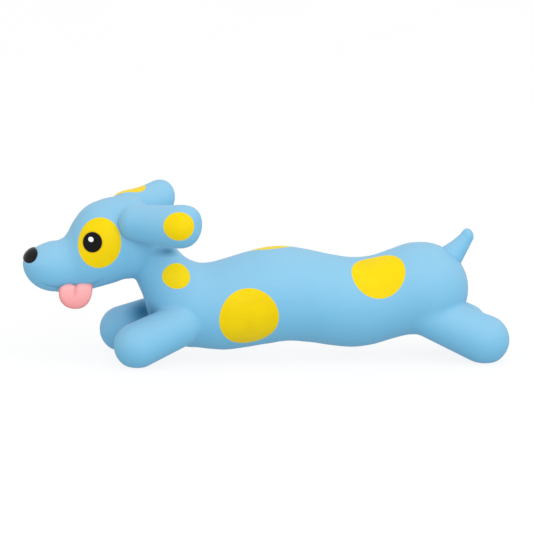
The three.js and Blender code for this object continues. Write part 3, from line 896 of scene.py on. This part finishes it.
tongue = {
    "halfWidth": 8.5,
    "top": -0.5,  # above the hinge, inside the lip
    "drop": 12.8,
    "widestAt": 3.1,
    "lipSlope": 0.2,  # the top follows the lip line
    "thickness": 4.4,
    "outward": 2.7,  # of the pad's middle from the hinge
    "upperSquareness": 3.8,
    "lowerSquareness": 2.25,
    "crown": 2.5,
    "grooveDepth": 1.1,
    "grooveHalfWidth": 1.0,
    "grooveEnd": 8.0,
    "grooveFade": 0.7,  # below 1 it stays deep for longer
    "grooveLean": 0.1,
    "notch": 1.6,  # dip between the two lobes at the top
    "notchHalfWidth": 2.2,
    "curl": 0.8,
    "rootIn": 1.7,  # how far its top bends into the lip
    "rootOver": 3.0,  # height over which it bends
    "rootMost": 1.2,
    "colour": (252, 178, 178),
    "deepColour": (242, 156, 158),
    "deepBetween": (3.0, 13.0),  # below the hinge
    # painted shade in the groove and round the rim
    "tongueShadeColour": (228, 124, 130),
    "grooveShade": 0.5,
    "grooveShadeAcross": (0.1, 1.3),
    "grooveShadeUp": (-8.5, -3.0),
    "rimShade": 0.6,
    "rimBelow": 4.5,  # of the middle of the oval that the rim is measured from, below the hinge
    "rimHalf": (8.6, 8.4),
    "rimBetween": (0.8, 1.02),
    "grain": 0.6,
    "grainHeight": 0.02,
    "mottle": 3.0,
    "mottleHeight": 0.04,
    "roughness": 0.42,
    "roughnessChange": 0.16,
    "specular": 0.2,
    "sheen": 0.05,
}


# A pad between two poles at its front and back: seen from the front its outline is a superellipse,
# squarer above its middle than below, and through its thickness it is a superellipse too. A groove that
# fades downwards is taken off the front.
def tongueGrid(form, rings=46, sides=72):
    middle = form["widestAt"]
    turn = turns(sides)
    power = 2 / np.where(np.sin(turn) < 0, form["lowerSquareness"], form["upperSquareness"])
    outlineX = form["halfWidth"] * signedPower(np.cos(turn), power)
    reach = np.where(np.sin(turn) < 0, form["drop"] - middle, middle - form["top"])
    outlineZ = reach * signedPower(np.sin(turn), power)
    notch = form["notch"] * np.exp(-(outlineX / form["notchHalfWidth"]) ** 2)
    outlineZ = outlineZ - notch * (np.sin(turn) > 0)
    tilt = np.linspace(0, math.pi, rings + 2)[1:-1]
    spread = np.sin(tilt) ** (2 / form["crown"])
    depth = signedPower(np.cos(tilt), 2 / form["crown"])
    x = np.append((spread[:, None] * outlineX).ravel(), [0, 0])
    z = np.append((spread[:, None] * outlineZ).ravel(), [0, 0]) - middle
    y = np.append(np.repeat(depth, sides), [1, -1]) * form["thickness"] / 2
    fade = np.clip((z + form["grooveEnd"]) / form["grooveEnd"], 0, 1) ** form["grooveFade"]
    off = (x - form["grooveLean"] * z) / form["grooveHalfWidth"]
    groove = form["grooveDepth"] * np.exp(-off ** 2) * fade
    y = y - np.where(y > 0, groove, 0)
    z = z + form["lipSlope"] * x * np.clip(1 + z / form["drop"], 0, 1)
    curl = form["curl"] * np.clip(-z / form["drop"], 0, 1) ** 2
    curl = curl - form["rootIn"] * np.clip(1 + z / form["rootOver"], 0, form["rootMost"]) ** 2
    return np.stack([x, -(y + form["outward"] + curl), z], 1), poledFaces(rings, sides)


# Pink that deepens downwards, with painted shade in the groove and round the rim
def makeTongueFinish(look):
    finish = Finish("tongueLatex", {
        "Specular IOR Level": look["specular"],
        "Sheen Weight": look["sheen"],
    })
    offset = finish.vector("SUBTRACT", finish.place, tuple(tongueRoot))
    across, _, upwards = finish.split(offset)
    grain, mottle = finish.noise(look["grain"]), finish.noise(look["mottle"], detail=3.0)
    low = finish.step(-1 * upwards, *look["deepBetween"])
    off = finish.math("ABSOLUTE", across - look["grooveLean"] * upwards)
    besideGroove = finish.step(off, *look["grooveShadeAcross"])
    groove = (1 - besideGroove) * finish.step(upwards, *look["grooveShadeUp"])
    halfWidth, halfHeight = look["rimHalf"]
    fromMiddle = finish.vector("ADD", offset, (0.0, 0.0, look["rimBelow"]))
    fromMiddle = finish.vector("MULTIPLY", fromMiddle, (1 / halfWidth, 0.0, 1 / halfHeight))
    rim = finish.step(finish.length(fromMiddle), *look["rimBetween"])
    colour = finish.mix(low, linear(look["colour"]), linear(look["deepColour"]))
    # painted shade in the groove and round the rim
    colour = finish.mix(look["grooveShade"] * groove, colour, linear(look["tongueShadeColour"]))
    colour = finish.mix(look["rimShade"] * rim, colour, linear(look["tongueShadeColour"]))
    finish.feed({
        "Base Color": colour,
        "Roughness": finish.vary(look["roughness"], look["roughnessChange"], mottle),
        "Normal": finish.bump(look["grainHeight"] * grain + look["mottleHeight"] * mottle),
    })
    return finish


points, faces = tongueGrid(tongue)
dogTongue = makePiece("dogTongue", points + tongueRoot, faces, makeTongueFinish(tongue))
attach(dogTongue, "tongue")
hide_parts("tongue")
print("tongue made")


# Nose

nose = {
    "height": 54.35,  # of its middle on the muzzle
    "behindTip": 10.0,  # where the way to the muzzle's skin starts, and how far it may go
    "searchSpan": 14.0,
    "wrapSpan": 8.0,  # how far the oval's points may go to the skin
    "nudge": 0.5,  # that the muzzle's slope is read with
    "halfWidth": 7.2,
    "halfHeight": 4.3,
    "sideFullness": 0.62,  # below 1 the oval is squarer at its sides
    "proud": 1.6,
    "sunk": 1.6,  # how far its back lies in the muzzle
    "rimSunk": 0.15,
    "domePower": 0.8,  # below 1 the dome is fuller
    "colour": (17, 17, 17),
    "wornColour": (34, 34, 35),
    "worn": (0.45, 0.75),  # the mottle's noise where wear starts and where it is full
    "grain": 0.5,
    "grainHeight": 0.03,
    "mottle": 2.2,
    "mottleHeight": 0.05,
    "roughness": 0.32,
    "roughnessChange": 0.2,
    "specular": 0.2,
}


# An oval button laid on the muzzle: points of an oval in the plane that touches the muzzle go along the
# plane's normal to the skin, and stand off it by a dome that is full in the middle and just sunk at the
# rim. The back lies in the muzzle by a dome of its own.
def noseGrid(form, rings=40, sides=64):
    within = np.array([[nodeBox("nose")[0][0] + form["behindTip"], 0.0, form["height"]]])
    middle = ontoSkin(within, np.array([-1.0, 0.0, 0.0]), -form["searchSpan"], form["searchSpan"])
    outward = unit([
        dogField(middle + step)[0] - dogField(middle - step)[0] for step in np.eye(3) * form["nudge"]
    ])
    upright = np.cross(outward, (0, 1, 0))
    tilt = np.linspace(0, math.pi, rings + 2)[1:-1]
    share = np.append(np.repeat(np.sin(tilt), sides), [0, 0])
    facing = np.append(np.repeat(np.cos(tilt), sides), [1, -1])
    angle = np.append(np.tile(turns(sides), rings), [0, 0])
    across = form["halfWidth"] * signedPower(np.cos(angle), form["sideFullness"])
    upwards = form["halfHeight"] * np.sin(angle)
    oval = across[:, None] * np.array([0.0, 1.0, 0.0]) + upwards[:, None] * upright
    plane = middle + share[:, None] * oval
    onto = ontoSkin(plane, outward, -form["wrapSpan"], form["wrapSpan"])
    most = np.where(facing > 0, form["proud"], form["sunk"])
    dome = most * signedPower(facing, form["domePower"]) - form["rimSunk"]
    return onto + dome[:, None] * outward, poledFaces(rings, sides)


def makeNoseFinish(look):
    finish = Finish("nosePaint", {"Specular IOR Level": look["specular"]})
    grain, mottle = finish.noise(look["grain"]), finish.noise(look["mottle"], detail=3.0)
    worn = finish.step(mottle, *look["worn"])
    finish.feed({
        "Base Color": finish.mix(worn, linear(look["colour"]), linear(look["wornColour"])),
        "Roughness": finish.vary(look["roughness"], look["roughnessChange"], mottle),
        "Normal": finish.bump(look["grainHeight"] * grain + look["mottleHeight"] * mottle),
    })
    return finish


points, faces = noseGrid(nose)
dogNose = makePiece("dogNose", points, faces, makeNoseFinish(nose))
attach(dogNose, "dog")
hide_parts("nose")
print("nose made")


# Fibre filling

filling = {
    "behindSkin": 2.4,
    "behindRoots": 0.8,
    "earRoom": 11.9,  # round each ear's hinge, which the ear's root stands off
    "squeakerRoom": 9.0,
    "cellStep": 2.2,
    "relaxRounds": 1,
    "tuft": 0.35,
    "tuftTurn": 1.3,  # radians per millimetre
    "colour": (240, 238, 230),
    "shade": (206, 203, 194),
    "shadeBetween": (0.35, 0.65),
    "fibre": 0.4,
    "fibreShare": 0.4,
    "fibreHeight": 0.3,
    "clump": 4.0,
    "clumpShare": 0.6,
    "clumpHeight": 0.6,
    "roughness": 0.85,
    "roughnessChange": 0.1,
    "sheen": 0.3,
    "fill": 0.8,
}


# The skin's field moved inwards, with room round the squeaker, the roots and the nose, and with tufts by
# the mean of a sine along each axis
def fillingField(points):
    body = dogField(points) + filling["behindSkin"]
    capTop = nodeBox("squeaker_cap")[1][2]
    room = pocketField(points, filling["squeakerRoom"], capTop + filling["behindRoots"])
    body = np.maximum(body, -room)
    noseLow, noseHigh = nodeBox("nose")
    balls = [(root, filling["earRoom"]) for root in earRoots.values()]
    balls += [
        (tailRoot, tail["rootRadius"]), (tongueRoot, tongue["halfWidth"]),
        ((noseLow + noseHigh) / 2, nose["halfWidth"]),
    ]
    for centre, radius in balls:
        body = np.maximum(body, -ballField(points, centre, radius + filling["behindRoots"]))
    tufts = np.sin(points * filling["tuftTurn"]).mean(axis=1)
    return body + filling["tuft"] * np.abs(tufts)


def makeFibreFinish(look):
    finish = Finish("fibreFilling", {"Sheen Weight": look["sheen"]})
    fibres, clumps = finish.noise(look["fibre"], detail=4.0), finish.noise(look["clump"], detail=3.0)
    tangle = look["clumpShare"] * clumps + look["fibreShare"] * fibres
    shade = finish.step(tangle, *look["shadeBetween"])
    finish.feed({
        "Base Color": finish.mix(shade, linear(look["colour"]), linear(look["shade"])),
        "Roughness": look["roughness"] + look["roughnessChange"] * fibres,
        "Normal": finish.bump(look["fibreHeight"] * fibres + look["clumpHeight"] * clumps),
    })
    return finish


points, squares = fieldSurface(
    fillingField, skinLow, skinHigh, filling["cellStep"], filling["relaxRounds"]
)
fibre = makePiece("fibreFilling", points, squares.tolist(), makeFibreFinish(filling))
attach(fibre, "dog")
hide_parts("fibre_filling")
print("filling made")


# Squeaker, whose solids stay and get their finishes

squeakerFinishes = {
    "mouldedWhite": {
        "colour": (236, 235, 229),
        "shade": (231, 229, 222),
        "roughness": 0.38,
        "nodes": ["squeaker_body", "squeaker_cap", "reed_seat", "reed_clamp"],
    },
    "reedAmber": {
        "colour": (214, 160, 72),
        "shade": (186, 128, 46),
        "roughness": 0.3,
        "nodes": ["reed"],
    },
}

moulded = {
    "flow": (0.15, 0.6, 0.6),  # marks per millimetre along, across and upwards
    "marks": (0.35, 0.7),  # the flow's noise where a mark starts and where it is full
    "grain": 0.35,
    "grainHeight": 0.012,
    "roughnessChange": 0.2,
    "specular": 0.45,
}


# Moulded plastic: faint flow marks along the dog and a fine grain
def makeMoulded(name, look):
    finish = Finish(name, {"Specular IOR Level": moulded["specular"]})
    flow = finish.noise(1.0, detail=3.0, place=finish.vector("MULTIPLY", finish.place, moulded["flow"]))
    grain = finish.noise(moulded["grain"])
    marks = finish.step(flow, *moulded["marks"])
    finish.feed({
        "Base Color": finish.mix(marks, linear(look["colour"]), linear(look["shade"])),
        "Roughness": finish.vary(look["roughness"], moulded["roughnessChange"], grain),
        "Normal": finish.bump(moulded["grainHeight"] * grain),
    })
    return finish


for name, look in squeakerFinishes.items():
    finish = makeMoulded(name, look)
    for node in look["nodes"]:
        for slot in frame["nodes"][node].material_slots:
            slot.material = finish.material
print("squeaker finished")


# Floor and light

studio = {
    "floorSize": 12.0,
    "floorRoughness": 0.9,
    "toneSize": 60.0,  # of the floors' faint change of tone
    "tone": (0.3, 0.7),
    "worldStrength": 0.86,
    "worldColour": (255, 255, 255),
    # place in metres, size, power and the point each light faces
    "key": {"at": (0.5, -0.8, 1.8), "size": 1.2, "power": 6.4},
    "fill": {"at": (0.1, -1.65, 0.85), "size": 1.2, "power": 8.8},
    "aim": (0.0, 0.0, 0.04),
}

# The floor that shows is a lit table, so shadows on it are faint. The paper under it throws light back.
floors = {
    "table": {
        "finish": "litTable", "height": 0.0, "colour": (0.13, 0.13, 0.13),
        "deeper": 0.98, "glow": 0.87, "specular": 0.0,
    },
    "paper": {
        "finish": "floorPaper", "height": -0.0005, "colour": linear((140, 140, 140))[:3],
        "deeper": 0.995, "glow": 0.4, "specular": 0.1,
    },
}


def makeFloor(name, look):
    finish = Finish(look["finish"], {
        "Roughness": studio["floorRoughness"],
        "Specular IOR Level": look["specular"],
        "Emission Color": (1, 1, 1, 1),
        "Emission Strength": look["glow"],
    })
    tone = finish.step(finish.noise(studio["toneSize"]), *studio["tone"])
    deeper = tuple(look["deeper"] * c for c in look["colour"])
    finish.feed({"Base Color": finish.mix(tone, (*look["colour"], 1.0), (*deeper, 1.0))})
    half, height = studio["floorSize"] / 2, look["height"]
    mesh = bpy.data.meshes.new(name)
    corners = [
        (-half, -half, height), (half, -half, height), (half, half, height), (-half, half, height),
    ]
    mesh.from_pydata(corners, [], [(0, 1, 2, 3)])
    mesh.materials.append(finish.material)
    floor = bpy.data.objects.new(name, mesh)
    scene.collection.objects.link(floor)
    return floor


def makeLight(name, settings):
    data = bpy.data.lights.new(name, "AREA")
    data.energy, data.size, data.shape = settings["power"], settings["size"], "DISK"
    lamp = bpy.data.objects.new(name, data)
    lamp.location = settings["at"]
    away = Vector(settings["at"]) - Vector(studio["aim"])
    lamp.rotation_euler = away.to_track_quat("Z", "Y").to_euler()
    scene.collection.objects.link(lamp)


def makeWorld():
    world = bpy.data.worlds.new("studio")
    scene.world = world
    world.use_nodes = True
    background = world.node_tree.nodes["Background"]
    background.inputs["Color"].default_value = linear(studio["worldColour"])
    background.inputs["Strength"].default_value = studio["worldStrength"]


table = makeFloor("table", floors["table"])
table.visible_diffuse = table.visible_glossy = table.visible_shadow = False
paper = makeFloor("paper", floors["paper"])
paper.visible_camera = False
makeLight("keyLight", studio["key"])
makeLight("fillLight", studio["fill"])
makeWorld()
scene.view_settings.view_transform = "Standard"
print("studio lit")
